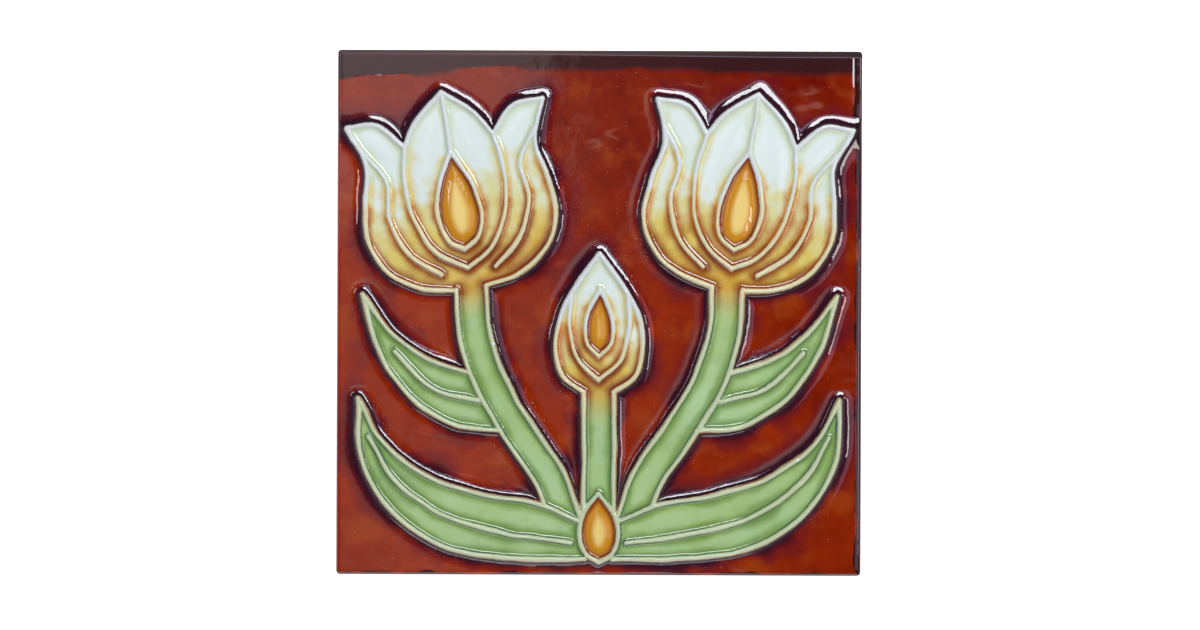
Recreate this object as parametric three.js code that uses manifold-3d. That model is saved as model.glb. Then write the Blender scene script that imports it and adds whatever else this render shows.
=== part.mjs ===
// A pressed ceramic wall tile with a moulded flower relief on its face. Millimetres, +Z up, face up.
// The origin is the centre of the back, on the plane that the back's ribs rest on.
// The tile is one fired piece: slab, cushion edge, keyed back and raised decoration are one solid.
import * as THREE from 'three';
import Module from 'manifold-3d';
import { mergeVertices } from 'three/addons/utils/BufferGeometryUtils.js';

const wasm = await Module();
wasm.setup();

// Slab
const tileSide = 152.4;
const slabThickness = 9;
const cornerRadius = 1.2;
const cornerSegments = 4;
const cushionRadius = 1.2;
const cushionSegments = 4;
const backChamfer = 0.6;

// Keying grooves pressed into the back, running across it, with a plain rim round them
const backRim = 14;
const grooveCount = 8;
const ribWidth = 7.5;
const grooveDepth = 1.2;
const grooveDraft = 0.8;

// Raised decoration: beds for flowers, stems and leaves, and a narrow raised line along every edge
const bedHeight = 1.2;
const lineHeight = 0.9;
const lineFootHalf = 1.25;
const lineTopHalf = 0.45;
const lineTipSides = 8;
const stemHalf = 4.4;
const reliefRoot = 0.6;

// Curves turn by this much from one flat to the next
const turnPerStep = THREE.MathUtils.degToRad(15);
const longestStep = 14;
const fineStep = 0.5;

// The decoration is drawn for a tile of this side and grows with the tile
const drawnSide = 152.4;
const drawingScale = tileSide / drawnSide;

// Right half of a flower from its base, as (across, up); the left half is its mirror image
const tulipBase = [37, 7];
const tulipTilt = THREE.MathUtils.degToRad(9);
const tulipLines = {
  side: [[4.4, 0], [14, 2], [23, 8], [27.3, 17.5], [26.6, 28.5], [24.6, 39], [28.5, 51]],
  lip: [[28.5, 51], [20, 50.5], [13, 43]],
  crown: [[13, 43], [8.5, 50], [0, 57]],
  heart: [[13, 43], [14.4, 32], [12.8, 20], [7.8, 11], [0, 6]],
  fold: [[25, 43], [19.6, 34], [20.4, 23], [16, 12], [8, 5.2]],
  split: [[0, 57], [0, 40]],
  drop: [[0, 40], [4.6, 31], [6.2, 22], [4.4, 14.5], [0, 11.5]],
};
const edgeLines = ['side', 'lip', 'crown'];
const budBase = [0, -23];
const budLines = {
  side: [[4.4, 0], [10.5, 4.5], [12.6, 13], [10.6, 24], [5.5, 32.5], [0, 40]],
  heart: [[8.4, 28], [8.6, 18], [5.8, 9], [0, 3.5]],
  drop: [[0, 30], [3.6, 22], [3.6, 14.5], [0, 10.5]],
};

// Stems by their centre lines, leaves by their edges, from the tile's centre, right-hand side
const tulipStem = [[9, -62], [13.5, -49], [23.5, -34], [32.4, -18], [36.2, -5], [37, 7]];
const budStem = [[0, -62], [0, -42], [0, -23]];
const leafLines = {
  lower: [[4, -71.2], [24, -71], [44, -68], [60, -57.5], [68.5, -43], [69.5, -25]],
  upper: [[69.5, -25], [62, -38], [50, -47], [34, -52.5], [18, -55.2], [5.4, -60.4]],
  rib: [[8, -66.5], [26, -64], [45, -58.5], [59, -48.5], [66.5, -36]],
};
const bladeLines = {
  lower: [[28.3, -34.2], [42, -32.5], [55, -24], [64, -10.5], [68.5, 5]],
  upper: [[68.5, 5], [59, -7], [48.5, -14], [37.3, -17.4]],
  rib: [[35, -25.5], [48, -22], [59, -11.5]],
};
const rootDrop = [[0, -52.4], [4.8, -58.8], [5.7, -65], [3.6, -70], [0, -72]];

// Solids

function solidOf(geometry) {
  const bare = geometry.clone();
  bare.deleteAttribute('normal');
  bare.deleteAttribute('uv');
  const merged = mergeVertices(bare, 1e-4);
  return new wasm.Manifold(new wasm.Mesh({
    numProp: 3,
    vertProperties: new Float32Array(merged.attributes.position.array),
    triVerts: new Uint32Array(merged.index.array),
  }));
}

function geometryOf(solid) {
  const mesh = solid.getMesh();
  const geometry = new THREE.BufferGeometry();
  geometry.setAttribute('position', new THREE.BufferAttribute(new Float32Array(mesh.vertProperties), 3));
  geometry.setIndex(new THREE.BufferAttribute(new Uint32Array(mesh.triVerts), 1));
  geometry.computeVertexNormals();
  return geometry;
}

function shapeOf(points) {
  return new THREE.Shape(points.map(([x, y]) => new THREE.Vector2(x, y)));
}

function prism(points, bottom, top) {
  const geometry = new THREE.ExtrudeGeometry(shapeOf(points), { depth: top - bottom, bevelEnabled: false });
  return solidOf(geometry.translate(0, 0, bottom));
}

// Curves

function smooth(points) {
  const corners = points.map(([x, y]) => new THREE.Vector3(x * drawingScale, y * drawingScale, 0));
  return new THREE.CatmullRomCurve3(corners, false, 'centripetal');
}

function stepsAlong(curve) {
  const probes = 60;
  let turn = 0;
  for (let i = 1; i <= probes; i++) {
    turn += curve.getTangentAt((i - 1) / probes).angleTo(curve.getTangentAt(i / probes));
  }
  return Math.max(1, Math.ceil(turn / turnPerStep), Math.ceil(curve.getLength() / longestStep));
}

function sampled(curve) {
  return curve.getSpacedPoints(stepsAlong(curve)).map((p) => [p.x, p.y]);
}

function finelySampled(curve) {
  return curve.getSpacedPoints(Math.ceil(curve.getLength() / fineStep)).map((p) => [p.x, p.y]);
}

function isInside([x, y], outline) {
  let inside = false;
  outline.forEach(([x1, y1], i) => {
    const [x0, y0] = outline[(i + outline.length - 1) % outline.length];
    if (y0 > y !== y1 > y && x < ((x0 - x1) * (y - y1)) / (y0 - y1) + x1) inside = !inside;
  });
  return inside;
}

function placed(points, base, tilt) {
  const [cos, sin] = [Math.cos(tilt), Math.sin(tilt)];
  return points.map(([u, v]) => [base[0] + u * cos + v * sin, base[1] - u * sin + v * cos]);
}

function mirrored(points) {
  return points.map(([x, y]) => [-x, y]);
}

function offset(points, side) {
  return points.map((point, i) => {
    const before = points[Math.max(0, i - 1)];
    const after = points[Math.min(points.length - 1, i + 1)];
    const length = Math.hypot(after[0] - before[0], after[1] - before[1]);
    return [
      point[0] + (side * (after[1] - before[1])) / length,
      point[1] - (side * (after[0] - before[0])) / length,
    ];
  });
}

// Slab with its cushion edge, rounded corners and chamfered back

function slabProfile() {
  const half = tileSide / 2;
  const points = [[-half + backChamfer, 0], [half - backChamfer, 0], [half, backChamfer]];
  for (const side of [1, -1]) {
    for (let i = 0; i <= cushionSegments; i++) {
      const step = side > 0 ? i : cushionSegments - i;
      const angle = (step / cushionSegments) * (Math.PI / 2);
      points.push([
        side * (half - cushionRadius + cushionRadius * Math.cos(angle)),
        slabThickness - cushionRadius + cushionRadius * Math.sin(angle),
      ]);
    }
  }
  points.push([-half, backChamfer]);
  return points;
}

function slabPlan() {
  const inner = tileSide / 2 - cornerRadius;
  const points = [];
  for (let corner = 0; corner < 4; corner++) {
    const start = (corner * Math.PI) / 2;
    const centre = [[inner, inner], [-inner, inner], [-inner, -inner], [inner, -inner]][corner];
    for (let i = 0; i <= cornerSegments; i++) {
      const angle = start + (i / cornerSegments) * (Math.PI / 2);
      points.push([centre[0] + cornerRadius * Math.cos(angle), centre[1] + cornerRadius * Math.sin(angle)]);
    }
  }
  return points;
}

function slab() {
  const run = new THREE.ExtrudeGeometry(shapeOf(slabProfile()), { depth: tileSide, bevelEnabled: false });
  const alongY = solidOf(run.clone().rotateX(Math.PI / 2).translate(0, tileSide / 2, 0));
  const alongX = solidOf(run.clone().rotateX(Math.PI / 2).translate(0, tileSide / 2, 0).rotateZ(Math.PI / 2));
  return alongY.intersect(alongX).intersect(prism(slabPlan(), 0, slabThickness));
}

// One keying groove: a trough whose walls slope in all round, cut up into the back

function trough(width, length) {
  const mouth = width / 2;
  const floor = mouth - grooveDraft;
  const section = shapeOf([[-mouth, 0], [mouth, 0], [floor, grooveDepth], [-floor, grooveDepth]]);
  const geometry = new THREE.ExtrudeGeometry(section, { depth: length, bevelEnabled: false });
  return geometry.rotateX(Math.PI / 2).translate(0, length / 2, 0);
}

function keyingGroove(width, length) {
  return solidOf(trough(width, length).rotateZ(Math.PI / 2)).intersect(solidOf(trough(length, width)));
}

function keyedBack(body) {
  const keyed = tileSide - 2 * backRim;
  const width = (keyed - (grooveCount - 1) * ribWidth) / grooveCount;
  let cut = body;
  for (let i = 0; i < grooveCount; i++) {
    const y = (i - (grooveCount - 1) / 2) * (width + ribWidth);
    cut = cut.subtract(keyingGroove(width, keyed).translate([0, y, 0]));
  }
  return cut;
}

// One raised line: a rounded section swept along a curve, with a round end at each tip

function raisedLine(points) {
  const curve = new THREE.CatmullRomCurve3(points.map(([x, y]) => new THREE.Vector3(x, y, 0)), false, 'centripetal');
  const foot = -reliefRoot;
  const crest = bedHeight + lineHeight;
  const half = [[foot, lineFootHalf], [0, lineFootHalf], [crest, lineTopHalf]];
  // The sweep's first section axis points down, so heights are negative there
  const section = [...half, ...half.map(([height, across]) => [height, -across]).reverse()];
  const shape = shapeOf(section.map(([height, across]) => [-height, across]));
  const sweep = new THREE.ExtrudeGeometry(shape, {
    steps: stepsAlong(curve), extrudePath: curve, bevelEnabled: false,
  });
  const line = solidOf(sweep);
  const tip = solidOf(new THREE.LatheGeometry([
    new THREE.Vector2(0, foot), ...half.map(([height, across]) => new THREE.Vector2(across, height)),
    new THREE.Vector2(0, crest),
  ], lineTipSides).rotateX(Math.PI / 2));
  const [start, end] = [points[0], points[points.length - 1]];
  return line
    .add(tip.translate([start[0], start[1], 0]))
    .add(tip.translate([end[0], end[1], 0]));
}

// The decoration, in the face's own heights, where 0 is the plain ground

function decoration() {
  const lines = [];
  const beds = [];

  // Adds a shape drawn on the right to the list, and its mirror image on the left
  function both(list, points) {
    list.push(points, mirrored(points));
  }

  function flower(halfLines, base, tilt) {
    const foot = base.map((value) => value * drawingScale);
    const turned = (points) => placed(points, foot, tilt);
    const rightEdge = [];
    for (const [name, points] of Object.entries(halfLines)) {
      const curve = sampled(smooth(points));
      lines.push(turned(curve), turned(mirrored(curve)));
      if (edgeLines.includes(name)) rightEdge.push(...curve.slice(rightEdge.length ? 1 : 0));
    }
    const leftEdge = mirrored(rightEdge).reverse().slice(1);
    beds.push(turned([...rightEdge, ...leftEdge]));
  }

  flower(budLines, budBase, 0);
  const budLineCount = lines.length;
  flower(tulipLines, tulipBase, tulipTilt);
  lines.push(...lines.slice(budLineCount).map(mirrored));
  beds.push(mirrored(beds[beds.length - 1]));

  const leafEdge = [...sampled(smooth(leafLines.lower)), ...sampled(smooth(leafLines.upper)).slice(1)];
  const bladeEdge = [...sampled(smooth(bladeLines.lower)), ...sampled(smooth(bladeLines.upper)).slice(1)];
  const dropHalf = sampled(smooth(rootDrop));
  const dropEdge = [...dropHalf, ...mirrored(dropHalf).reverse().slice(1)];
  both(beds, leafEdge);
  both(beds, bladeEdge);
  beds.push(dropEdge);
  for (const points of [...Object.values(leafLines), ...Object.values(bladeLines)]) {
    both(lines, sampled(smooth(points)));
  }
  both(lines, dropHalf);

  // The stems pass behind the leaves and the root drop, so their edges stop there
  const isCovered = (point) => isInside(point, leafEdge) || isInside(point, dropEdge);
  const halfWidth = stemHalf * drawingScale;
  for (const centre of [tulipStem, budStem]) {
    const run = sampled(smooth(centre));
    both(beds, [...offset(run, halfWidth), ...offset(run, -halfWidth).reverse()]);
    for (const side of centre === budStem ? [halfWidth] : [halfWidth, -halfWidth]) {
      const edge = offset(finelySampled(smooth(centre)), side);
      both(lines, edge.filter((point) => !isCovered(point)));
    }
  }
  return { lines, beds };
}

function relief() {
  const { lines, beds } = decoration();
  const solids = beds.map((points) => prism(points, -reliefRoot, bedHeight));
  for (const points of lines) solids.push(raisedLine(points));
  return wasm.Manifold.union(solids).translate([0, 0, slabThickness]);
}

const tileSolid = keyedBack(slab()).add(relief());

const glaze = new THREE.MeshStandardMaterial({ color: 0x8a3420, roughness: 0.12, metalness: 0 });
const tile = new THREE.Mesh(geometryOf(tileSolid), glaze);
tile.name = 'tile';

const object = new THREE.Group();
object.add(tile);

export default object;
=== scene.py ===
"""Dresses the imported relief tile: a pressed ceramic wall tile with a moulded decoration under gloss glaze.

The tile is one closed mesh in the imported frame, in metres: +Z out of the glazed face, +Y towards the top
of the flowers. The decoration is drawn in millimetres, its right half only, and mirrored to the left.
The blank is shaped with bmesh operators, its face is cut into a grid that is finest along the raised
lines, and one height field then raises that grid. The same field leaves attributes that the glaze reads.
"""

import math

import bmesh
import bpy
import numpy as np
from mathutils import Matrix, Vector, kdtree, noise


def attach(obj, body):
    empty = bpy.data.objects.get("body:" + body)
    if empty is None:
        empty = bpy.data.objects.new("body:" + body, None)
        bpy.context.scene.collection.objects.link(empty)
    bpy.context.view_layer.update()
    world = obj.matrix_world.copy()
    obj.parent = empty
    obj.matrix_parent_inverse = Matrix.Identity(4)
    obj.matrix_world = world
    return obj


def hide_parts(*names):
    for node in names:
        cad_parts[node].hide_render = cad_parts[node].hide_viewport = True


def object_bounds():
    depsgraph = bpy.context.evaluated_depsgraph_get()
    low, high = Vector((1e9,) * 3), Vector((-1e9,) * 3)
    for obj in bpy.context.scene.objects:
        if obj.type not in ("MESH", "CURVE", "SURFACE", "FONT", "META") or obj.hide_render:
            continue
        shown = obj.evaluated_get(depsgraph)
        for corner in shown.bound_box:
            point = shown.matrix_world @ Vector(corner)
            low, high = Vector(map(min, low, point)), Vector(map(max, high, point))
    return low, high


bl_info = {
    "name": "Relief tile",
    "version": (1, 0, 0),
    "blender": (4, 5, 0),
    "location": "3D View > Sidebar > Tile",
    "description": "Models, glazes and lights a moulded ceramic wall tile around its packed frame",
    "category": "Object",
}

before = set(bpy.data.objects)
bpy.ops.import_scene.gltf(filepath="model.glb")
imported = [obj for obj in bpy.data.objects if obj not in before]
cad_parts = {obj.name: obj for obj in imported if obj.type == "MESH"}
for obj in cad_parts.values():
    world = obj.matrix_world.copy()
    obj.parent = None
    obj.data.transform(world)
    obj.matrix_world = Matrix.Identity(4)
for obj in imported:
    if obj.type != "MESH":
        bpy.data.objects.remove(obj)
cad_low, cad_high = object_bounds()

MM = 0.001

# The raised decoration is a bed with lines on it, and the slab is the rest of the frame's height
BED_HEIGHT = 1.2 * MM
LINE_HEIGHT = 0.9 * MM
TILE_SIDE = cad_high.x - cad_low.x
SLAB_THICKNESS = cad_high.z - cad_low.z - BED_HEIGHT - LINE_HEIGHT

# The drawing, in millimetres for a tile of this side
DRAWN_SIDE = 152.4

# Right halves only: a flower is drawn upwards from its base, the rest from the middle of the face
TULIP_BASE = (37, 7)
TULIP_TILT = math.radians(9)
TULIP_TOP = 57
TULIP = {
    "side": [(4.4, 0), (14, 2), (23, 8), (27.3, 17.5), (26.6, 28.5), (24.6, 39), (28.5, 51)],
    "lip": [(28.5, 51), (20, 50.5), (13, 43)],
    "crown": [(13, 43), (8.5, 50), (0, 57)],
    "heart": [(13, 43), (14.4, 32), (12.8, 20), (7.8, 11), (0, 6)],
    "fold": [(25, 43), (19.6, 34), (20.4, 23), (16, 12), (8, 5.2)],
    "split": [(0, 57), (0, 40)],
    "drop": [(0, 40), (4.6, 31), (6.2, 22), (4.4, 14.5), (0, 11.5)],
}
BUD_BASE = (0, -23)
BUD_TOP = 40
BUD = {
    "side": [(4.4, 0), (10.5, 4.5), (12.6, 13), (10.6, 24), (5.5, 32.5), (0, 40)],
    "heart": [(8.4, 28), (8.6, 18), (5.8, 9), (0, 3.5)],
    "drop": [(0, 30), (3.6, 22), (3.6, 14.5), (0, 10.5)],
}
EDGE_LINES = ("side", "lip", "crown")
STEM_HALF = 4.4
TULIP_STEM = [(9, -62), (13.5, -49), (23.5, -34), (32.4, -18), (36.2, -5), (37, 7)]
BUD_STEM = [(0, -62), (0, -42), (0, -23)]
LEAF = {
    "lower": [(4, -71.2), (24, -71), (44, -68), (60, -57.5), (68.5, -43), (69.5, -25)],
    "upper": [(69.5, -25), (62, -38), (50, -47), (34, -52.5), (18, -55.2), (5.4, -60.4)],
    "rib": [(8, -66.5), (26, -64), (45, -58.5), (59, -48.5), (66.5, -36)],
}
BLADE = {
    "lower": [(28.3, -34.2), (42, -32.5), (55, -24), (64, -10.5), (68.5, 5)],
    "upper": [(68.5, 5), (59, -7), (48.5, -14), (37.3, -17.4)],
    "rib": [(35, -25.5), (48, -22), (59, -11.5)],
}
ROOT_DROP = [(0, -52.4), (4.8, -58.8), (5.7, -65), (3.6, -70), (0, -72)]

# Half widths of the inner and outer lines, and the wall's reach beside the outline, in millimetres
LINE_HALF = 0.56
OUTLINE_HALF = 0.68
WALL_OUTSIDE = 1.45
WALL_INSIDE = 0.4

# The glaze inside the lines, in millimetres: hollow at their feet and crowned in the middle
HOLLOW_START = 0.7
HOLLOW_WIDTH = 1.35
HOLLOW_DEPTH = 0.36
CROWN_START = 1.4
CROWN_HEIGHT = 0.3
FLOWER_CROWN = 0.2
DROP_CROWN = 0.36

# The glaze outside the relief, in millimetres: a fillet at its foot and a fall towards the edges
FILLET_START = 1.1
FILLET_WIDTH = 2.8
FILLET_HEIGHT = 0.76
EDGE_FALL = 0.06

# The dark pool of glaze starts this far outside the outline, in millimetres
POOL_START = 1.2

# The dark band along the top edge, in millimetres: its least depth, and what it gains at the left end
BAND_DEPTH = 3.4
BAND_GAIN = 3.6

# Depths of the glaze's and the bare clay's surface, in millimetres
BAND_STEP = 0.065
CORNER_ROLL = 0.3
PINHOLE_DEPTH = 0.04
GRAIN_DEPTH = 0.03

# The glaze ends this many millimetres up the sides, give or take half its ragged range
GLAZE_FOOT = 3.4
GLAZE_RAGGED = 2.4

# Steps of the curves, cells of the face, and the bands beside the lines where the cells are halved again
CURVE_STEP = 0.25
COARSE_CELL = 1.06
FINE_BANDS = (2.7, 1.05)

# What the height field tells the glaze, with the values away from the face
FAR = 20.0
ATTRIBUTES = {"line": FAR, "ridge": FAR, "outline": -FAR, "flower": 0.0, "bloom": 0.0, "drop": 0.0}

# How the blank is rounded and shaded, and how near to the same height counts as the same
CUSHION_SEGMENTS = 6
SHARP_ANGLE = math.radians(20)
TOLERANCE = 0.01 * MM

# How the surfaces take the light
GLAZE_IOR = 1.62
GLAZE_ROUGHNESS = 0.05
CLAY_ROUGHNESS = 0.85

# The floor's half side, and how far it lies under the back, in metres
FLOOR_REACH = 5.0
FLOOR_GAP = 0.1 * MM

# The photograph's frame and the tile's outline in it, in pixels
PHOTO_WIDTH = 1200
PHOTO_HEIGHT = 630
OUTLINE_WIDTH = 524.6
OUTLINE_CENTRE = (599.3, 312.8)
OUTLINE_TURN = math.radians(-0.22)


def srgb(red, green, blue):
    """A colour read as 0 to 255 values, as the linear values that Blender's colours hold."""
    shares = (value / 255 for value in (red, green, blue))
    return tuple(s / 12.92 if s <= 0.04045 else ((s + 0.055) / 1.055) ** 2.4 for s in shares)


# Properties


def length(name, description, default):
    """A size in metres."""
    return bpy.props.FloatProperty(
        name=name, description=description, default=default, min=0.0, precision=5,
        subtype="DISTANCE", unit="LENGTH",
    )


def colour(name, description, default):
    """A colour in linear values."""
    return bpy.props.FloatVectorProperty(
        name=name, description=description, default=default, min=0.0, max=1.0, size=3, subtype="COLOR",
    )


class TileSizes(bpy.types.PropertyGroup):
    """What the pressed tile measures"""

    side: length("Side", "Length of each side of the tile", TILE_SIDE)
    thickness: length("Thickness", "From the back to the plain ground of the face", SLAB_THICKNESS)
    bed_height: length("Bed height", "Height of flowers, stems and leaves over the ground", BED_HEIGHT)
    line_height: length("Line height", "Height of the raised lines over the beds", LINE_HEIGHT)
    cushion: length("Cushion radius", "Rounding of the face's edges and of the corners", 1.2 * MM)
    back_chamfer: length("Back chamfer", "Chamfer round the back", 0.6 * MM)
    back_rim: length("Back rim", "Plain rim round the keying grooves", 14 * MM)
    rib_width: length("Rib width", "Width of the ribs between the grooves", 7.5 * MM)
    groove_depth: length("Groove depth", "Depth of the keying grooves", 1.2 * MM)
    groove_draft: length("Groove draft", "How far each groove's wall slopes in", 0.8 * MM)
    groove_count: bpy.props.IntProperty(
        name="Grooves", description="Number of keying grooves in the back", default=8, min=1, max=24,
    )


class GlazeColours(bpy.types.PropertyGroup):
    """Colours of the glazes and of the bare clay"""

    ground_red: colour("Deep red", "Thick glaze of the ground", srgb(106, 15, 4))
    ground_orange: colour("Orange red", "Thin glaze of the ground", srgb(160, 48, 7))
    ground_gold: colour("Golden red", "Warmer streaks of the ground", srgb(166, 72, 22))
    pool: colour("Pool", "Dark glaze pooled at the foot of the relief", srgb(42, 15, 30))
    plum: colour("Plum", "Ground glaze thinning out beside the pool", srgb(98, 18, 34))
    petal_white: colour("Petal white", "Tips of the petals", srgb(220, 230, 224))
    petal_cream: colour("Petal cream", "Middle of the petals", srgb(214, 214, 162))
    petal_yellow: colour("Petal yellow", "Lower part of the petals", srgb(216, 194, 100))
    petal_amber: colour("Petal amber", "Base of the petals", srgb(208, 164, 68))
    petal_plum: colour("Petal plum", "Thick glaze between lines that lie close", srgb(112, 46, 34))
    edge_green: colour("Edge green", "Glaze pooled along the lines of the white petals", srgb(192, 204, 150))
    edge_amber: colour("Edge amber", "Glaze pooled along the lines of the yellow petals", srgb(190, 110, 22))
    edge_brown: colour("Edge brown", "Glaze pooled along the lines at the flowers' bases", srgb(140, 64, 14))
    leaf_green: colour("Leaf green", "Stems and leaves", srgb(160, 194, 134))
    # Paler green in the middle of broad leaves: thin glaze, and partly a painted highlight
    leaf_pale_and_highlight: colour("Leaf pale", "Thin glaze in the middle of broad leaves", srgb(182, 210, 162))
    leaf_yellow: colour("Leaf yellow", "Warmer patches of stems and leaves", srgb(158, 184, 102))
    leaf_dark: colour("Leaf shade", "Green glaze pooled along the lines", srgb(94, 130, 50))
    # Dark teal at the foot of the lines: pooled glaze, with a painted reflection of blue sky in it
    leaf_teal_and_reflection: colour("Leaf teal", "Thin dark edge at the foot of the lines", srgb(52, 84, 84))
    line_pale: colour("Pale line", "Raised lines round the white petals", srgb(214, 220, 216))
    line_cream: colour("Cream line", "Raised lines round the amber petals", srgb(218, 212, 168))
    line_green: colour("Green line", "Raised lines round stems and leaves", srgb(196, 207, 167))
    line_rust: colour("Rust", "Thin brown glaze on the lines' outer slopes", srgb(160, 96, 36))
    seed_amber: colour("Seed amber", "Glaze of the drops", srgb(204, 138, 30))
    # The light middle of the drops is partly a painted highlight
    seed_light_and_highlight: colour("Seed light", "Crowned middle of the drops", srgb(236, 206, 122))
    seed_dark: colour("Seed dark", "Glaze pooled round the drops", srgb(126, 50, 14))
    # Pale rims of burst bubbles, painted pale enough to stand for a glint on them; the faint wisps and seams
    # of the ground take a little of this colour
    pale_glaze_and_glint: colour("Pinhole", "Pale rims of burst bubbles in the ground", srgb(196, 140, 120))
    chip: colour("Chip", "Pale body where a line is chipped", srgb(226, 232, 234))
    # Dark band along the top edge: dark glaze, with a painted dark reflection where the face falls away
    rim: colour("Rim", "Dark band of glaze along the top edge", srgb(50, 25, 28))
    # Thick dark glaze along the right and lower edges; on the right end of the top cushion the same colour
    # is painted shade
    rim_dark_and_shade: colour("Rim shade", "Thick dark glaze at the right, below and top right", srgb(34, 18, 20))
    # Lighter strip on the cushion of the top edge, at its left: a painted reflection of the pale sky
    rim_painted_sheen: colour("Rim edge", "Thinner glaze of the upper edge, at its left", srgb(66, 42, 46))
    biscuit: colour("Biscuit", "Bare fired clay of the back", srgb(214, 190, 158))
    biscuit_shade: colour("Biscuit shade", "Darker patches of the bare clay", srgb(176, 148, 116))


class StudioLook(bpy.types.PropertyGroup):
    """Camera, lights and floor"""

    lens: bpy.props.FloatProperty(
        name="Lens", description="Focal length of the camera in millimetres", default=50.0, min=10.0,
    )
    window: bpy.props.FloatProperty(
        name="Window", description="Brightness of the long window light", default=15.2, min=0.0,
    )
    veil: bpy.props.FloatProperty(
        name="Veil", description="Brightness of the ceiling mirrored on the left", default=0.3, min=0.0,
    )
    fill: bpy.props.FloatProperty(
        name="Fill", description="Brightness of the low light beyond the lower edge", default=2.4, min=0.0,
    )
    floor: colour("Floor", "Colour of the plain floor", (0.9, 0.9, 0.9))


# Curves of the drawing


def smooth_curve(points):
    """A centripetal Catmull-Rom curve through the points, sampled at short even steps, as an array."""
    knots = np.array(points, float)
    knots = np.vstack([2 * knots[0] - knots[1], knots, 2 * knots[-1] - knots[-2]])
    curve = []
    for p0, p1, p2, p3 in zip(knots, knots[1:], knots[2:], knots[3:]):
        d0, d1, d2 = (np.linalg.norm(b - a) ** 0.5 for a, b in ((p0, p1), (p1, p2), (p2, p3)))
        start = ((p1 - p0) / d0 - (p2 - p0) / (d0 + d1) + (p2 - p1) / d1) * d1
        end = ((p2 - p1) / d1 - (p3 - p1) / (d1 + d2) + (p3 - p2) / d2) * d1
        steps = max(2, math.ceil(np.linalg.norm(p2 - p1) / CURVE_STEP))
        t = np.arange(steps)[:, None] / steps
        cubic = (2 * (p1 - p2) + start + end) * t**3 + (3 * (p2 - p1) - 2 * start - end) * t**2
        curve.append(cubic + start * t + p1)
    return np.vstack([*curve, knots[-2:-1]])


def mirrored(points):
    """The points with left and right exchanged."""
    return points * (-1, 1)


def turn(tilt):
    """The matrix that turns row points clockwise by the tilt."""
    return np.array([[math.cos(tilt), -math.sin(tilt)], [math.sin(tilt), math.cos(tilt)]])


def offset(points, distance):
    """The curve moved to the right of its run by a distance."""
    along = np.gradient(points, axis=0)
    across = np.column_stack([along[:, 1], -along[:, 0]])
    return points + distance * across / np.linalg.norm(across, axis=1)[:, None]


def closed(half):
    """The outline made of a right half, drawn from the bottom up, and its mirror image."""
    return np.vstack([half, mirrored(half)[::-1]])


def is_inside(points, outline):
    """Whether each point lies inside a closed outline."""
    x, y = points[:, :1], points[:, 1:]
    x1, y1 = outline.T
    x0, y0 = np.roll(outline, 1, axis=0).T
    spans = (y0 > y) != (y1 > y)
    rise = np.where(y0 == y1, 1, y0 - y1)
    return (spans & (x < (x0 - x1) * (y - y1) / rise + x1)).sum(axis=1) % 2 == 1


def distance_to(runs, points):
    """The distance from each point to the nearest of some open curves."""
    samples = np.vstack(runs)
    tree = kdtree.KDTree(len(samples))
    for index, (x, y) in enumerate(samples):
        tree.insert((x, y, 0), index)
    tree.balance()
    nearest = np.array([tree.find((x, y, 0))[1] for x, y in points])
    ends = np.cumsum([len(run) for run in runs])
    first = np.zeros(len(samples), bool)
    first[[0, *ends[:-1]]] = True
    last = np.roll(first, -1)
    best = np.full(len(points), np.inf)
    for step, stopped in ((-1, first), (1, last)):
        a = samples[nearest]
        b = samples[np.where(stopped[nearest], nearest, nearest + step)]
        span = b - a
        share = ((points - a) * span).sum(axis=1) / np.maximum((span**2).sum(axis=1), 1e-12)
        foot = a + span * np.clip(share, 0, 1)[:, None]
        best = np.minimum(best, np.linalg.norm(points - foot, axis=1))
    return best


def depth_inside(outline, points):
    """How deep each point lies inside a closed outline, below zero outside it, down to the margin."""
    margin = 12
    low, high = outline.min(axis=0) - margin, outline.max(axis=0) + margin
    near = ((points > low) & (points < high)).all(axis=1)
    depth = np.full(len(points), -float(margin))
    loop = np.vstack([outline, outline[:1]])
    sign = np.where(is_inside(points[near], outline), 1, -1)
    depth[near] = sign * distance_to([loop], points[near])
    return depth


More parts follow.
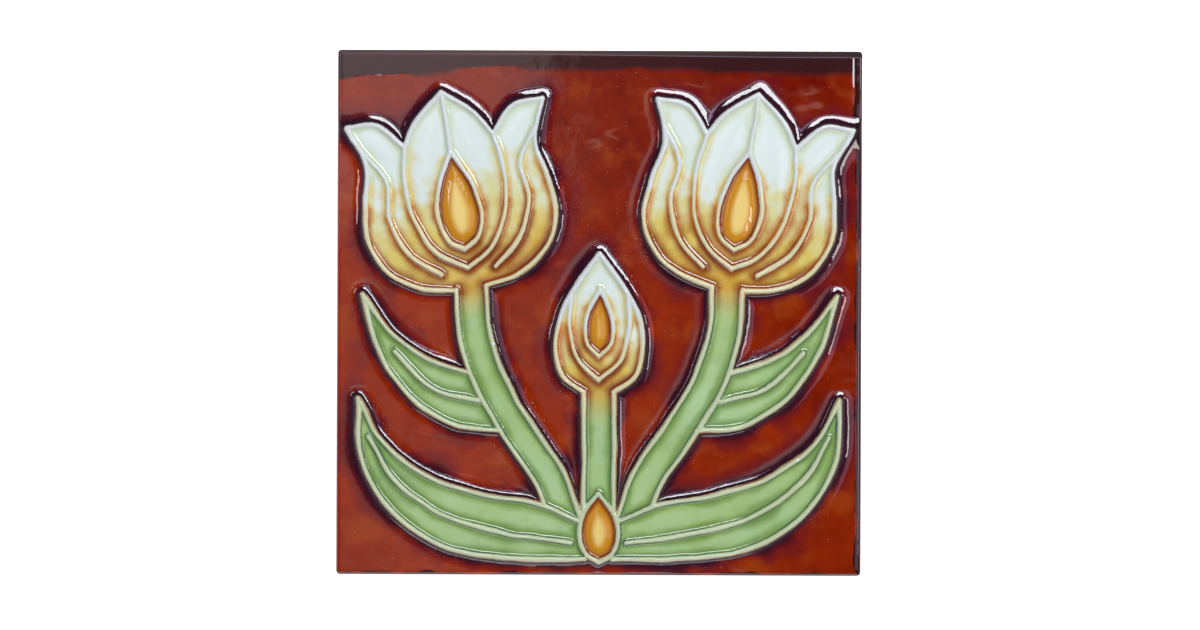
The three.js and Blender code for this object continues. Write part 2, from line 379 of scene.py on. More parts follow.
class Drawing:
    """Every raised line and bed of the decoration, as arrays of points in millimetres."""

    def __init__(self):
        self.lines = []
        self.flower_beds = []
        self.green_beds = []
        self.drop_beds = []
        self.flower_frames = []
        self.draw_flower(BUD, BUD_BASE, 0, BUD_TOP)
        self.draw_flower(TULIP, TULIP_BASE, TULIP_TILT, TULIP_TOP)
        self.draw_flower(TULIP, (-TULIP_BASE[0], TULIP_BASE[1]), -TULIP_TILT, TULIP_TOP)
        leaf = self.draw_leaf(LEAF)
        self.draw_leaf(BLADE)
        drop = self.draw_root_drop()
        self.draw_stem(BUD_STEM, (leaf, drop), (STEM_HALF,))
        self.draw_stem(TULIP_STEM, (leaf, drop), (STEM_HALF, -STEM_HALF))

    def draw_flower(self, half_lines, base, tilt, top):
        """A flower on its base, with its drop; the frame that is kept tells how far up it a point lies."""

        def place(points):
            return points @ turn(tilt) + base

        curves = {name: smooth_curve(points) for name, points in half_lines.items()}
        for curve in curves.values():
            self.lines += [place(curve), place(mirrored(curve))]
        edge = np.vstack([curves[name] for name in EDGE_LINES if name in curves])
        self.flower_beds.append(place(closed(edge)))
        self.drop_beds.append(place(closed(curves["drop"])))
        self.flower_frames.append((base, tilt, top))

    def draw_leaf(self, leaf_lines):
        """A leaf and its mirror image; hands back the right one's outline."""
        curves = {name: smooth_curve(points) for name, points in leaf_lines.items()}
        outline = np.vstack([curves["lower"], curves["upper"]])
        for curve in curves.values():
            self.lines += [curve, mirrored(curve)]
        self.green_beds += [outline, mirrored(outline)]
        return outline

    def draw_root_drop(self):
        """The drop where the stems meet; hands back its outline."""
        half = smooth_curve(ROOT_DROP)
        self.lines += [half, mirrored(half)]
        self.drop_beds.append(closed(half))
        return self.drop_beds[-1]

    def draw_stem(self, points, covers, sides):
        """A stem passes behind the bottom leaf and the root drop, so its edges stop there."""
        centre = smooth_curve(points)
        bed = np.vstack([offset(centre, STEM_HALF), offset(centre, -STEM_HALF)[::-1]])
        self.green_beds += [bed, mirrored(bed)]
        for side in sides:
            edge = offset(centre, side)
            for cover in covers:
                edge = edge[~is_inside(edge, cover)]
            self.lines += [edge, mirrored(edge)]


# Height of the glazed face


def ramp(values, low, high):
    """0 at low and 1 at high, with a smooth rise between them."""
    share = np.clip((values - low) / (high - low), 0, 1)
    return share * share * (3 - 2 * share)


def wander(points, size, seed):
    """Smooth noise, mostly from -0.5 to 0.5, whose waves are about the size long."""
    return np.array([noise.noise((x / size, y / size, seed)) for x, y in points])


class Field:
    """The face at some points, in millimetres: its height and what the glaze needs to know there."""

    def __init__(self, drawing, points, bed_height, line_height, half_side):
        drift = np.column_stack([wander(points, 7, 1.5), wander(points, 7, 2.5)])
        drawn = points + 0.3 * drift
        self.line = distance_to(drawing.lines, drawn)
        flowers = [depth_inside(bed, drawn) for bed in drawing.flower_beds]
        greens = np.max([depth_inside(bed, drawn) for bed in drawing.green_beds], axis=0)
        drops = np.max([depth_inside(bed, drawn) for bed in drawing.drop_beds], axis=0)
        self.outline = np.maximum.reduce([np.max(flowers, axis=0), greens, drops])
        self.drop = ramp(drops, -0.3, 0.3)
        self.measure_flowers(drawing, drawn, flowers)
        self.raise_face(points, bed_height, line_height, half_side)

    def measure_flowers(self, drawing, drawn, depths):
        """How far up its flower each point lies, and how much it belongs to a flower or to its stem."""
        nearest = np.argmax(depths, axis=0)
        self.bloom = np.zeros(len(drawn))
        self.flower = ramp(np.max(depths, axis=0), -2.4, -1.6)
        for index, (base, tilt, top) in enumerate(drawing.flower_frames):
            across, up = ((drawn - base) @ turn(tilt).T).T
            mine = nearest == index
            self.bloom[mine] = up[mine] / top
            # A flower's colours run a little way down its stem
            throat = ramp(up, -11, 3) * (np.abs(across) < STEM_HALF + LINE_HALF) * (up < top / 2)
            self.flower = np.maximum(self.flower, throat)

    def raise_face(self, points, bed_height, line_height, half_side):
        """Beds with their glaze, lines, the fillet round them and the wavy ground, in one height."""
        inside = ramp(self.outline, -WALL_OUTSIDE, -WALL_INSIDE)
        uneven = 0.93 - 0.12 * wander(points, 5, 3.5)
        half_width = LINE_HALF + (OUTLINE_HALF - LINE_HALF) * ramp(-self.outline, -1.0, -0.4)
        self.ridge = self.line / (half_width * (1 + 0.3 * wander(points, 9, 4.5)))
        line = line_height * uneven * np.exp(-(self.ridge**3))
        glaze = self.pooled_glaze(points)
        fillet = self.foot_fillet(points) * (1 - inside)
        dip = 0.07 * wander(points, 22, 6.5) + 0.02 * wander(points, 5, 7.5)
        ground = dip * ramp(-self.outline, 0, 4)
        height = inside * (bed_height + glaze) + line + fillet + ground - self.edge_fall(points, half_side)
        self.height = np.minimum(height, bed_height + line_height)

    def pooled_glaze(self, points):
        """Inside the lines the glaze is hollow at their feet and crowned in the middle, drops most."""
        share = np.clip((self.line - HOLLOW_START) / HOLLOW_WIDTH, 0, 1)
        hollow = HOLLOW_DEPTH * (1 - (1 - share) ** 1.3)
        crowned = CROWN_HEIGHT + FLOWER_CROWN * self.flower + DROP_CROWN * self.drop
        spread = 3.0 - 1.1 * self.drop
        crown = crowned * (1 - np.exp(-((np.maximum(self.line - CROWN_START, 0) / spread) ** 2)))
        return crown - hollow + 0.05 * wander(points, 6, 8.5)

    def foot_fillet(self, points):
        """Outside the relief the glaze runs out from its foot in a nearly straight slope."""
        width = FILLET_WIDTH + wander(points, 12, 5.5)
        share = np.clip((-self.outline - FILLET_START) / width, 0, 1)
        return FILLET_HEIGHT * (1 - share) ** 1.3

    def edge_fall(self, points, half_side):
        """The face falls away a little towards the edges."""
        return EDGE_FALL * ramp(np.abs(points).max(axis=1), half_side - 2.4, half_side - 0.4)


# The tile's mesh


def pressed_blank(sizes):
    """The slab with its cushion edge, rounded corners, chamfered back and keying grooves."""
    blank = bmesh.new()
    bmesh.ops.create_cube(blank, size=1.0)
    bmesh.ops.scale(blank, vec=(sizes.side, sizes.side, sizes.thickness), verts=blank.verts)
    bmesh.ops.translate(blank, vec=(0, 0, sizes.thickness / 2), verts=blank.verts)
    top = [e for e in blank.edges if max(v.co.z for v in e.verts) > sizes.thickness / 2]
    bmesh.ops.bevel(
        blank, geom=top, offset=sizes.cushion, segments=CUSHION_SEGMENTS, profile=0.5, material=-1,
        affect="EDGES",
    )
    rim = [e for e in blank.edges if max(v.co.z for v in e.verts) < sizes.back_chamfer / 2]
    bmesh.ops.bevel(
        blank, geom=rim, offset=sizes.back_chamfer, segments=1, profile=0.5, material=-1, affect="EDGES",
    )
    cut_grooves(blank, sizes)
    for edge in blank.edges:
        low = max(v.co.z for v in edge.verts) < sizes.thickness / 2
        edge.smooth = not (low and edge.calc_face_angle() > SHARP_ANGLE)
    for face in blank.faces:
        face.smooth = True
    return blank


def back_faces(blank, sizes):
    """The faces of the back's plane."""
    low = sizes.back_chamfer / 2
    return [f for f in blank.faces if f.normal.z < -0.99 and f.calc_center_median().z < low]


def split_back(blank, sizes, normal, place):
    """Cuts the back along a line across the normal, at a place along it."""
    faces = back_faces(blank, sizes)
    geometry = {*faces, *(e for f in faces for e in f.edges), *(v for f in faces for v in f.verts)}
    plane = Vector(normal) * place
    bmesh.ops.bisect_plane(blank, geom=list(geometry), plane_co=plane, plane_no=normal)


def cut_grooves(blank, sizes):
    """Splits the back along the walls of the keying grooves and sinks the grooves."""
    keyed = sizes.side - 2 * sizes.back_rim
    width = (keyed - (sizes.groove_count - 1) * sizes.rib_width) / sizes.groove_count
    pitch = width + sizes.rib_width
    middles = [(i - (sizes.groove_count - 1) / 2) * pitch for i in range(sizes.groove_count)]
    for end in (-keyed / 2, keyed / 2):
        split_back(blank, sizes, (1, 0, 0), end)
    for middle in middles:
        for wall in (middle - width / 2, middle + width / 2):
            split_back(blank, sizes, (0, 1, 0), wall)

    def in_groove(face):
        place = face.calc_center_median()
        return abs(place.x) < keyed / 2 and any(abs(place.y - middle) < width / 2 for middle in middles)

    grooves = [f for f in back_faces(blank, sizes) if in_groove(f)]
    bmesh.ops.inset_individual(
        blank, faces=grooves, thickness=sizes.groove_draft, depth=-sizes.groove_depth, use_even_offset=True,
    )


def cut_face_grid(blank, sizes, drawing, scale):
    """Cuts the face and its cushion edge into a grid, and cuts it again along the raised lines."""
    wall_top = sizes.thickness - sizes.cushion
    long_edges = [
        e for e in blank.edges
        if min(v.co.z for v in e.verts) > wall_top - TOLERANCE and e.calc_length() > sizes.side / 2
    ]
    cuts = round(sizes.side / MM / scale / COARSE_CELL) - 1
    bmesh.ops.subdivide_edges(blank, edges=long_edges, cuts=cuts, use_grid_fill=True)
    for band in FINE_BANDS:
        flat = [v for v in blank.verts if v.co.z > sizes.thickness - TOLERANCE]
        places = np.array([v.co.xy for v in flat]) / MM / scale
        near = {v for v, d in zip(flat, distance_to(drawing.lines, places)) if d < band}
        fine = [e for e in blank.edges if e.verts[0] in near and e.verts[1] in near]
        bmesh.ops.subdivide_edges(blank, edges=fine, cuts=1, use_grid_fill=True)


def raise_relief(mesh, sizes, drawing, scale):
    """Lifts the face by the height field and stores the glaze's attributes on it."""
    places = np.zeros(len(mesh.vertices) * 3)
    mesh.vertices.foreach_get("co", places)
    places = places.reshape(-1, 3)
    share = np.clip((places[:, 2] - sizes.thickness + sizes.cushion) / sizes.cushion, 0, 1)
    face = share > 0
    unit = MM * scale
    heights = (sizes.bed_height / unit, sizes.line_height / unit)
    field = Field(drawing, places[face, :2] / unit, *heights, sizes.side / unit / 2)
    places[face, 2] += field.height * unit * share[face]
    mesh.vertices.foreach_set("co", places.ravel())
    for name, elsewhere in ATTRIBUTES.items():
        stored = np.full(len(places), elsewhere)
        stored[face] = getattr(field, name)
        mesh.attributes.new(name, "FLOAT", "POINT").data.foreach_set("value", stored)
    mesh.update()


class CERAMICS_OT_press_tile(bpy.types.Operator):
    """Press the tile: blank, keyed back and raised decoration in one closed mesh"""

    bl_idname = "ceramics.press_tile"
    bl_label = "Press tile"

    def execute(self, context):
        sizes = context.scene.tile_sizes
        drawing = Drawing()
        scale = sizes.side / MM / DRAWN_SIDE
        blank = pressed_blank(sizes)
        cut_face_grid(blank, sizes, drawing, scale)
        mesh = bpy.data.meshes.new("glazed_tile")
        blank.to_mesh(mesh)
        blank.free()
        raise_relief(mesh, sizes, drawing, scale)
        tile = bpy.data.objects.new("glazed_tile", mesh)
        context.scene.collection.objects.link(tile)
        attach(tile, "root")
        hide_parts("tile")
        return {"FINISHED"}


# Shader expressions


class Term:
    """An output socket in a shader expression: arithmetic on it adds Math nodes to its recipe."""

    def __init__(self, recipe, socket):
        self.recipe = recipe
        self.socket = socket

    def __add__(self, other):
        return self.recipe.math("ADD", self, other)

    def __radd__(self, other):
        return self.recipe.math("ADD", other, self)

    def __sub__(self, other):
        return self.recipe.math("SUBTRACT", self, other)

    def __rsub__(self, other):
        return self.recipe.math("SUBTRACT", other, self)

    def __mul__(self, other):
        return self.recipe.math("MULTIPLY", self, other)

    def __rmul__(self, other):
        return self.recipe.math("MULTIPLY", other, self)


class Recipe:
    """The nodes of one material or world."""

    def __init__(self, owner):
        owner.use_nodes = True
        self.tree = owner.node_tree
        self.tree.nodes.clear()

    def node(self, kind, settings, inputs, output=0):
        """One node: its settings are made first, then the values or links of its sockets."""
        node = self.tree.nodes.new("ShaderNode" + kind)
        for name, value in settings.items():
            if name == "stops":
                self.set_stops(node.color_ramp, value)
            else:
                setattr(node, name, value)
        for name, value in inputs.items():
            socket = self.find(node.inputs, name)
            if isinstance(value, Term):
                self.tree.links.new(value.socket, socket)
            elif socket.type == "RGBA":
                socket.default_value = (*value[:3], 1)
            else:
                socket.default_value = value
        return Term(self, self.find(node.outputs, output)) if len(node.outputs) else None

    def find(self, sockets, name):
        """A socket by its number, its identifier or its name."""
        if isinstance(name, int):
            return sockets[name]
        return next(s for s in sockets if name in (s.identifier, s.name))

    def set_stops(self, ramp_settings, stops):
        """Two stops are there already, so only the rest are added."""
        elements = ramp_settings.elements
        while len(elements) < len(stops):
            elements.new(1.0)
        for element, (place, value) in zip(elements, stops):
            element.position = place
            element.color = (*value[:3], 1)

    def math(self, operation, a, b):
        return self.node("Math", {"operation": operation}, {"Value": a, "Value_001": b})

    def mix(self, a, b, share):
        """Colour a where the share is 0 and colour b where it is 1."""
        sockets = {"A_Color": a, "B_Color": b, "Factor_Float": share}
        return self.node("Mix", {"data_type": "RGBA"}, sockets, "Result_Color")

    def ramp(self, value, low, high):
        """0 at low and 1 at high, with a smooth rise between them; low may be the larger."""
        sockets = {"Value": value, "From Min": low, "From Max": high}
        return self.node("MapRange", {"interpolation_type": "SMOOTHSTEP"}, sockets)

    def stretch(self, value, low, high):
        """The value from low to high, limited to that range, as 0 to 1."""
        return self.node("MapRange", {}, {"Value": value, "From Min": low, "From Max": high})


# The glaze


class GlazeRecipe(Recipe):
    """The tile's finish, in millimetres; every cloud is given its size and a seed of its own.

    line is the distance to the nearest line and ridge the same in half widths of it, outline the depth
    inside the relief, flower and drop the share of each, and bloom how far up its flower a point lies.
    """

    def __init__(self, material, colours, sizes):
        super().__init__(material)
        self.colours = colours
        place = self.node("TexCoord", {}, {}, "Object")
        self.place = self.node("VectorMath", {"operation": "SCALE"}, {"Vector": place, "Scale": 1 / MM})
        axes = [self.node("SeparateXYZ", {}, {"Vector": self.place}, axis) for axis in "XYZ"]
        self.x, self.y, self.z = axes
        self.line, self.ridge, self.outline, self.flower, self.bloom, self.drop = (
            self.node("Attribute", {"attribute_name": name}, {}, "Fac") for name in ATTRIBUTES
        )
        self.half_side = sizes.side / MM / 2
        wall_top = (sizes.thickness - sizes.cushion) / MM
        self.on_face = self.ramp(self.z, wall_top, wall_top + 0.6)
        self.set_tone()
        self.set_rim()
        self.holes = self.pinholes()

    def set_tone(self):
        """The way from a flower's base to its tips, patchy, by which its colours change."""
        patches = self.cloud(13, 3.1) * 0.28 + self.cloud(5, 4.7) * 0.2
        self.tone = self.bloom + patches - 0.25

    def set_rim(self):
        """How far inside the dark band along the top a point lies, how blurred the band is, and how dull the
        top edge is and how dark its painted shade.
        """
        depth = BAND_DEPTH + self.stretch(self.x, -40, -76) * BAND_GAIN + self.stretch(self.x, 0, 70)
        depth = depth + self.cloud(38, 24.9) * 1.6 + self.cloud(8, 25.3, detail=4) * 1.2
        self.rim = self.y + depth - self.half_side
        self.rim_blur = self.ramp(self.cloud(24, 27.7) + self.stretch(self.x, 30, 66) * 0.5, 0.4, 0.75)
        # This share towards the right also darkens the top cushion as painted shade
        self.dull_and_shaded = self.stretch(self.x, -20, 50)

    def cloud(self, size, seed, detail=2.0, distortion=0.0, place=None):
        """Noise from 0 to 1 whose waves are about the size long, over the tile or over another place."""
        sockets = {
            "Vector": place or self.place, "Vector_001": (1 / size,) * 3, "Vector_002": (seed, -seed, seed),
        }
        shifted = self.node("VectorMath", {"operation": "MULTIPLY_ADD"}, sockets)
        sockets = {"Vector": shifted, "Scale": 1.0, "Detail": detail, "Distortion": distortion}
        return self.stretch(self.node("TexNoise", {}, sockets), 0.25, 0.75)

    def drawn_out(self, share):
        """The place with its x shortened, over which noise comes out longer from left to right."""
        sockets = {"Vector": self.place, "Vector_001": (share, 1, 1)}
        return self.node("VectorMath", {"operation": "MULTIPLY"}, sockets)

    def ground(self):
        """Red glaze, mottled where it lies thick and thin, dark purple where it pools at the relief."""
        c = self.colours
        lean = self.stretch(self.x + self.y, -60, 120)
        broad = self.cloud(34, 1.3, detail=3) * 0.5 + 0.2 - lean * 0.48
        clouds = broad + self.cloud(9, 5.7) * 0.3 + self.cloud(3.4, 6.1) * 0.22
        red = self.mix(c.ground_red, c.ground_orange, clouds)
        golden = self.ramp(self.cloud(12, 75.1, detail=3), 0.55, 0.85)
        red = self.mix(red, c.ground_gold, golden * 0.4)
        # Pinholes are painted pale as a painted glint; the wisps and seams are faint pale glaze
        red = self.mix(red, c.pale_glaze_and_glint, self.holes * 0.7 + self.smears() * 0.035 + self.seams() * 0.16)
        width = 0.9 + self.ramp(self.cloud(18, 7.9, detail=3), 0.25, 0.95) * 4.4
        gap = -POOL_START - self.outline
        red = self.mix(red, c.plum, self.ramp(gap, width * 2.2, width * 0.7) * 0.6)
        return self.mix(red, c.pool, self.ramp(gap, width, width * 0.15) * 0.95)

    def spots(self, cell, chance, radius, seed):
        """Scattered round spots of the face: 1 inside a spot and 0 outside, one at most in each cell."""
        shifted = self.node(
            "VectorMath", {"operation": "MULTIPLY_ADD"},
            {"Vector": self.place, "Vector_001": (1 / cell, 1 / cell, 0), "Vector_002": (seed, seed, 0)},
        )
        sockets = {"Vector": shifted, "Scale": 1.0}
        near = self.node("TexVoronoi", {"voronoi_dimensions": "2D"}, sockets, "Distance")
        draw = self.node("TexVoronoi", {"voronoi_dimensions": "2D"}, sockets, "Color")
        chosen = self.node("SeparateColor", {}, {"Color": draw}, "Red")
        spot = self.ramp(near, radius / cell, radius / cell / 2) * self.ramp(chosen, chance + 0.01, chance)
        return spot * self.on_face

    def smears(self):
        """Faint pale wisps in the ground, drawn out sideways."""
        wisp = self.cloud(7, 73.3, detail=3, distortion=0.3, place=self.drawn_out(0.4))
        edge = self.ramp(wisp, 0.44, 0.56) * self.ramp(wisp, 0.7, 0.56)
        return edge * self.ramp(self.cloud(20, 79.1), 0.45, 0.75)

    def seams(self):
        """Thin pale lines where one run of glaze met another, broken up along their length."""
        level = self.cloud(30, 33.3, detail=3, place=self.drawn_out(0.5))
        seam = self.ramp(level, 0.48, 0.5) * self.ramp(level, 0.52, 0.5)
        return seam * self.ramp(self.cloud(17, 39.7), 0.55, 0.8) * self.on_face

    def pinholes(self):
        """Burst bubbles: a few all over the ground, and more where the glaze crawled at the relief."""
        crawled = self.ramp(self.outline, -4.6, -3.6) * self.ramp(self.outline, -1.6, -2.4)
        crawled = crawled * self.ramp(self.cloud(18, 53.9), 0.5, 0.7)
        return self.spots(2.8, 0.1, 0.14, 47.3) + self.spots(0.9, 0.42, 0.16, 61.7) * crawled

    def petals(self):
        """White at the tips and amber at the base, and darker where the glaze gathers at the lines."""
        c = self.colours
        middle = [(0.0, c.petal_amber), (0.2, c.petal_yellow), (0.44, c.petal_cream), (0.57, c.petal_white)]
        edge = [(0.14, c.edge_brown), (0.42, c.edge_amber), (0.58, c.petal_yellow), (0.68, c.edge_green)]
        petal = self.node("ValToRGB", {"stops": middle}, {"Fac": self.tone})
        pool = self.node("ValToRGB", {"stops": edge}, {"Fac": self.tone})
        reach = 1.5 + self.cloud(10, 9.9) * 3.4 + self.ramp(self.tone, 0.4, 0.0)
        thick = self.ramp(self.line, reach, 0.7)
        fading = 1 - self.ramp(self.tone, 0.5, 0.8) * 0.4
        petal = self.mix(petal, pool, thick * fading)
        stained = self.ramp(self.line, 2.8, 0.8) * self.ramp(self.tone, 0.45, 0.15)
        stained = stained * self.ramp(self.cloud(11, 43.7), 0.4, 0.8)
        return self.mix(petal, c.petal_plum, stained * 0.6)

    def leaves(self):
        """Mottled green, paler in the middle of broad leaves where the glaze is thin and as a painted
        highlight, with a thin dark teal edge at the lines that is partly a painted reflection.
        """
        c = self.colours
        green = self.mix(c.leaf_green, c.leaf_yellow, self.cloud(14, 11.3))
        # The paler middle of broad leaves is partly a painted highlight
        thin = self.ramp(self.line, 1.6, 3.8) * self.cloud(19, 10.1)
        green = self.mix(green, c.leaf_pale_and_highlight, thin * 0.75)
        mottled = self.ramp(self.cloud(6, 15.1, detail=3), 0.5, 1.0)
        green = self.mix(green, c.leaf_dark, mottled * 0.17)
        reach = 1.7 + self.cloud(11, 12.7) * 3.4
        green = self.mix(green, c.leaf_dark, self.ramp(self.line, reach, 0.7) * 0.85)
        # The teal edge is partly a painted reflection of blue sky
        teal = self.ramp(self.line, 1.3, 0.9) * self.cloud(13, 13.7)
        return self.mix(green, c.leaf_teal_and_reflection, teal * 0.8)

    def drops(self):
        """Amber, light where it is crowned, partly as a painted highlight, and brown where it pools."""
        c = self.colours
        amber = self.mix(c.seed_amber, c.seed_light_and_highlight, self.ramp(self.line, 2.8, 5.2))
        return self.mix(amber, c.seed_dark, self.ramp(self.line, 2.6, 0.7))

    def lines(self):
        """Thin glaze over the ridges, in the tint of the petals or leaves beside them."""
        c = self.colours
        flower_line = self.mix(c.line_cream, c.line_pale, self.ramp(self.tone, 0.35, 0.6))
        line = self.mix(c.line_green, flower_line, self.flower)
        rust = self.ramp(self.outline, -0.15, -0.6) * (1 - self.ramp(self.tone, 0.2, 0.5) * self.flower)
        line = self.mix(line, c.line_rust, rust * self.cloud(12, 17.3))
        return self.mix(line, c.chip, self.spots(8, 0.1, 0.6, 83.9))

    def colour(self):
        """The whole glaze: ground, beds and lines, with dark glaze along the edges over them, and along the
        top a dark band that is partly a painted dark reflection, with painted sheen and shade on its
        cushion.
        """
        c = self.colours
        inner = self.mix(self.leaves(), self.petals(), self.flower)
        inner = self.mix(inner, self.drops(), self.drop)
        face = self.mix(self.ground(), inner, self.ramp(self.outline, -0.3, 0.3))
        ragged = self.ridge + (self.cloud(1.4, 19.9) - 0.5) * 0.3
        face = self.mix(face, self.lines(), self.ramp(ragged, 1.28, 0.94))
        # Dark glaze lies along the right and lower edges, wider near the top
        ragged_edge = self.cloud(8, 21.7, detail=4) * 1.8 - self.half_side
        near_top = self.ramp(self.y, self.half_side - 40, self.half_side - 6)
        edge = self.math("MAXIMUM", self.x + 1.0 + near_top * 0.9, 0 - self.y) + ragged_edge
        face = self.mix(face, c.rim_dark_and_shade, self.ramp(edge, -0.15, 0.25) * self.on_face * 0.9)
        # The top cushion's colour is painted light: a painted sky reflection at the left, darkening to
        # painted shade at the right
        cushion = self.mix(c.rim_painted_sheen, c.rim_dark_and_shade, self.dull_and_shaded)
        # The dark band along the top is partly a painted dark reflection, laid over the cushion strip
        rim = self.mix(c.rim, cushion, self.ramp(self.y, self.half_side - 2.2, self.half_side - 1.6))
        return self.mix(face, rim, self.ramp(self.rim, self.rim_blur * -2.6 - 0.2, 0.2) * 0.95)

    def ripple(self):
        """Fine unevenness of the glaze's surface, in millimetres."""
        skin = self.cloud(2.6, 29.7) * 0.01 + self.cloud(0.9, 31.3) * 0.002
        crawled = self.ramp(self.outline, -4.2, -2.0) * self.ramp(self.outline, 0.5, -1.0)
        broken = self.cloud(2.2, 67.1) * self.cloud(15, 69.7) * crawled * 0.036
        width = 0.14 + self.rim_blur * 1.6 + self.cloud(7, 71.3) * 0.4
        step = self.ramp(self.rim, 0 - width, width) * BAND_STEP
        # Near the top the glaze rolls off towards the right edge
        right = self.half_side - 2.9 - self.x + self.cloud(16, 81.1) * 0.4
        near_top = self.ramp(self.y, self.half_side - 18, self.half_side - 8)
        roll = self.ramp(right, 0.6, -0.6) * near_top * CORNER_ROLL
        return skin + broken - step - roll - self.holes * PINHOLE_DEPTH

    def make(self):
        """Glaze above and bare clay below a ragged edge; the glaze is worn dull at the very top."""
        c = self.colours
        edge = (self.cloud(9, 37.1, detail=3) - 0.5) * GLAZE_RAGGED
        glazed = self.ramp(self.z + edge, GLAZE_FOOT, GLAZE_FOOT + 0.4)
        grain = self.cloud(0.6, 41.9, detail=4)
        clay = self.mix(c.biscuit, c.biscuit_shade, grain * self.cloud(14, 43.3))
        height = self.ripple() * glazed + grain * GRAIN_DEPTH * (1 - glazed)
        normal = self.node("Bump", {}, {"Height": height, "Distance": MM, "Strength": 1.0})
        worn = self.ramp(self.y + self.dull_and_shaded * 0.7, self.half_side - 1.6, self.half_side - 0.9) * self.on_face
        gloss = CLAY_ROUGHNESS - GLAZE_ROUGHNESS - worn * (0.75 + self.dull_and_shaded * 0.2)
        sockets = {
            "Base Color": self.mix(clay, self.colour(), glazed),
            "Roughness": CLAY_ROUGHNESS - glazed * gloss,
            "IOR": GLAZE_IOR,
            "Normal": normal,
        }
        shader = self.node("BsdfPrincipled", {}, sockets)
        self.node("OutputMaterial", {}, {"Surface": shader})


class CERAMICS_OT_glaze_tile(bpy.types.Operator):
    """Glaze the tile: coloured gloss glaze over the face, bare biscuit on the back"""

    bl_idname = "ceramics.glaze_tile"
    bl_label = "Glaze tile"

    def execute(self, context):
        material = bpy.data.materials.new("relief_glaze")
        GlazeRecipe(material, context.scene.glaze_colours, context.scene.tile_sizes).make()
        bpy.data.objects["glazed_tile"].data.materials.append(material)
        return {"FINISHED"}


# The studio


def add_card(name, zenith, bearing, distance, size, radiance, tint=(1, 1, 1)):
    """A flat light that faces the tile: zenith is from straight up, bearing clockwise from +Y."""
    zenith, bearing = math.radians(zenith), math.radians(bearing)
    direction = Vector((
        math.sin(zenith) * math.sin(bearing), math.sin(zenith) * math.cos(bearing), math.cos(zenith),
    ))
    light = bpy.data.lights.new(name, "AREA")
    light.shape = "RECTANGLE"
    light.size, light.size_y = size
    light.energy = math.pi * size[0] * size[1] * radiance
    light.color = tint
    card = bpy.data.objects.new(name, light)
    card.location = direction * distance
    card.rotation_euler = direction.to_track_quat("Z", "Y").to_euler()
    card.visible_camera = False
    bpy.context.scene.collection.objects.link(card)


def add_floor(shade):
    """A plain pale floor just under the back, see-through from below so that the back can be looked at."""
    floor_mesh = bpy.data.meshes.new("floor")
    floor_plane = bmesh.new()
    bmesh.ops.create_grid(floor_plane, x_segments=1, y_segments=1, size=FLOOR_REACH)
    floor_plane.to_mesh(floor_mesh)
    floor_plane.free()
    floor = bpy.data.objects.new("floor", floor_mesh)
    floor.location.z = -FLOOR_GAP
    bpy.context.scene.collection.objects.link(floor)
    material = bpy.data.materials.new("plain_floor")
    recipe = Recipe(material)
    sockets = {
        "Base Color": shade, "Roughness": 0.9, "Specular IOR Level": 0.0,
        "Emission Color": (1, 1, 1), "Emission Strength": 0.75,
    }
    from_below = recipe.node("NewGeometry", {}, {}, "Backfacing")
    top = recipe.node("BsdfPrincipled", {}, sockets)
    clear = recipe.node("BsdfTransparent", {}, {})
    surface = recipe.node("MixShader", {}, {"Fac": from_below, 1: top, 2: clear})
    recipe.node("OutputMaterial", {}, {"Surface": surface})
    floor_mesh.materials.append(material)


def set_world(veil):
    """Soft light, pale at the horizon and dark overhead, with a dim pale ceiling over the left half."""
    horizon = (0.52, 0.5, 0.62)
    overhead = (0.01, 0.01, 0.012)
    shade_behind = (0.02, 0.02, 0.04)
    world = bpy.data.worlds.new("studio")
    bpy.context.scene.world = world
    recipe = Recipe(world)
    direction = recipe.node("TexCoord", {}, {}, "Generated")
    right, back, up = (recipe.node("SeparateXYZ", {}, {"Vector": direction}, axis) for axis in "XYZ")
    # The ceiling is mirrored in the flat ground: full on the left, brighter at the top, fading to the right
    left = recipe.ramp(right, -0.01, -0.05)
    ceiling = left * (0.9 + recipe.ramp(right, -0.02, -0.14) * 0.2)
    ceiling = ceiling * (1 + recipe.ramp(back, 0.02, 0.11) * 1.7)
    ceiling = ceiling + (1 - left) * recipe.ramp(right, 0.12, -0.05) * 0.5
    ceiling = ceiling * recipe.ramp(up, 0.9, 0.96) * veil
    around = recipe.mix(horizon, overhead, recipe.ramp(up, 0.2, 0.88))
    around = recipe.mix(around, shade_behind, recipe.ramp(back, 0.1, 0.5) * 0.85)
    shade = recipe.node("VectorMath", {"operation": "ADD"}, {"Vector": around, "Vector_001": ceiling})
    background = recipe.node("Background", {}, {"Color": shade, "Strength": 1.0})
    recipe.node("OutputWorld", {}, {"Surface": background})


def add_camera(lens, sizes):
    """Looks straight down; the tile's outline gets its size, place and turn in the photograph."""
    camera = bpy.data.cameras.new("camera")
    camera.lens = lens
    camera.sensor_width = 36.0
    per_pixel = sizes.side / OUTLINE_WIDTH
    distance = per_pixel * PHOTO_WIDTH * lens / camera.sensor_width
    right = (PHOTO_WIDTH / 2 - OUTLINE_CENTRE[0]) * per_pixel
    up = (OUTLINE_CENTRE[1] - PHOTO_HEIGHT / 2) * per_pixel
    viewer = bpy.data.objects.new("camera", camera)
    widest = sizes.thickness - sizes.cushion
    place = Matrix.Rotation(-OUTLINE_TURN, 4, "Z") @ Matrix.Translation((right, up, widest + distance))
    viewer.matrix_world = place
    bpy.context.scene.collection.objects.link(viewer)
    bpy.context.scene.camera = viewer


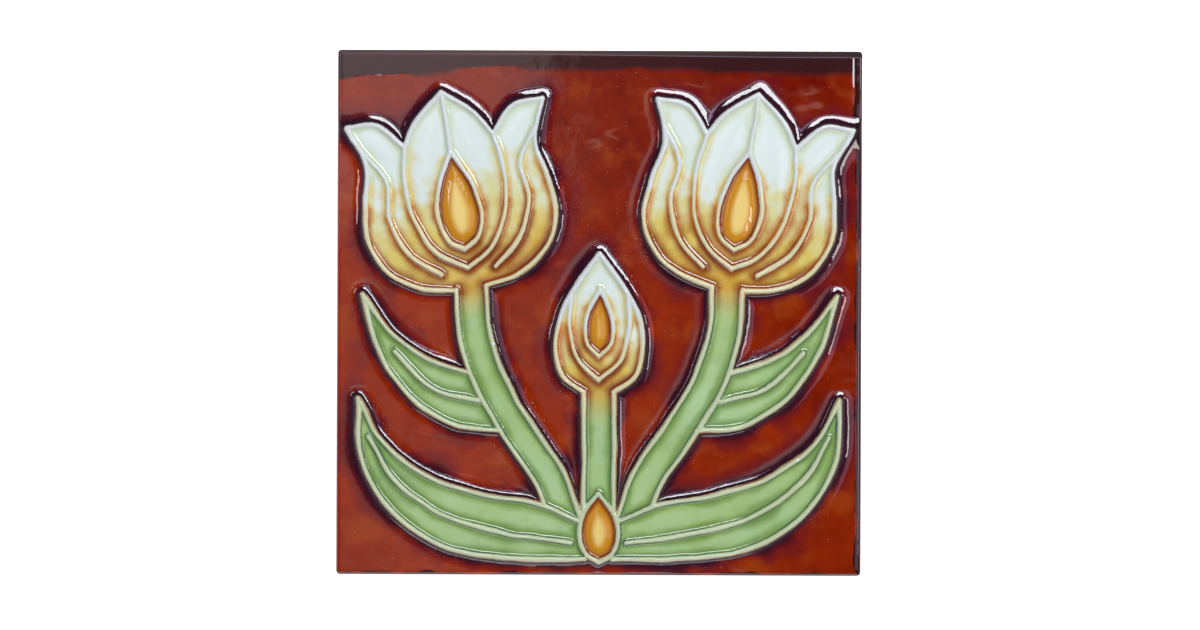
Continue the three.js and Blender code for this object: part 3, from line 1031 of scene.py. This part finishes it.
class CERAMICS_OT_set_studio(bpy.types.Operator):
    """Set the studio: pale floor, soft light and the camera at the photograph's angle"""

    bl_idname = "ceramics.set_studio"
    bl_label = "Set studio"

    def execute(self, context):
        look = context.scene.studio_look
        add_floor(look.floor)
        set_world(look.veil)
        # Degrees from straight up, degrees clockwise from +Y, metres away, metres wide and high
        add_card("window", 36, 22, 1.0, (0.86, 0.2), look.window, (0.94, 1.0, 1.04))
        add_card("sky", 25, 14, 1.0, (0.7, 0.05), look.window * 0.25, (0.74, 0.7, 1.0))
        add_card("side_window", 40, 96, 1.0, (0.26, 0.1), look.window * 0.5, (1.0, 0.98, 0.95))
        add_card("corner_window", 52, 76, 1.07, (0.12, 0.12), look.window * 0.75)
        add_card("left_window", 40, -72, 1.0, (0.3, 0.06), look.window * 0.4)
        add_card("curtain", 27, 92, 1.0, (0.5, 0.28), look.window * 0.06, (0.95, 0.7, 1.0))
        add_card("fill", 60, 190, 1.2, (1.4, 0.4), look.fill)
        add_camera(look.lens, context.scene.tile_sizes)
        context.scene.view_settings.view_transform = "Standard"
        return {"FINISHED"}


class VIEW3D_PT_relief_tile(bpy.types.Panel):
    """Sizes, colours and steps of the relief tile"""

    bl_label = "Relief tile"
    bl_space_type = "VIEW_3D"
    bl_region_type = "UI"
    bl_category = "Tile"

    def draw(self, context):
        scene = context.scene
        for group, operator in (
            (scene.tile_sizes, "ceramics.press_tile"), (scene.glaze_colours, "ceramics.glaze_tile"),
            (scene.studio_look, "ceramics.set_studio"),
        ):
            box = self.layout.box()
            for name in type(group).__annotations__:
                box.prop(group, name)
            box.operator(operator)


CLASSES = (
    TileSizes, GlazeColours, StudioLook, CERAMICS_OT_press_tile, CERAMICS_OT_glaze_tile,
    CERAMICS_OT_set_studio, VIEW3D_PT_relief_tile,
)


def register():
    for each in CLASSES:
        bpy.utils.register_class(each)
    bpy.types.Scene.tile_sizes = bpy.props.PointerProperty(type=TileSizes)
    bpy.types.Scene.glaze_colours = bpy.props.PointerProperty(type=GlazeColours)
    bpy.types.Scene.studio_look = bpy.props.PointerProperty(type=StudioLook)


def unregister():
    del bpy.types.Scene.studio_look
    del bpy.types.Scene.glaze_colours
    del bpy.types.Scene.tile_sizes
    for each in reversed(CLASSES):
        bpy.utils.unregister_class(each)


def main():
    """Builds the tile and its studio."""
    register()
    bpy.ops.ceramics.press_tile()
    bpy.ops.ceramics.glaze_tile()
    bpy.ops.ceramics.set_studio()


if __name__ == "__main__":
    main()
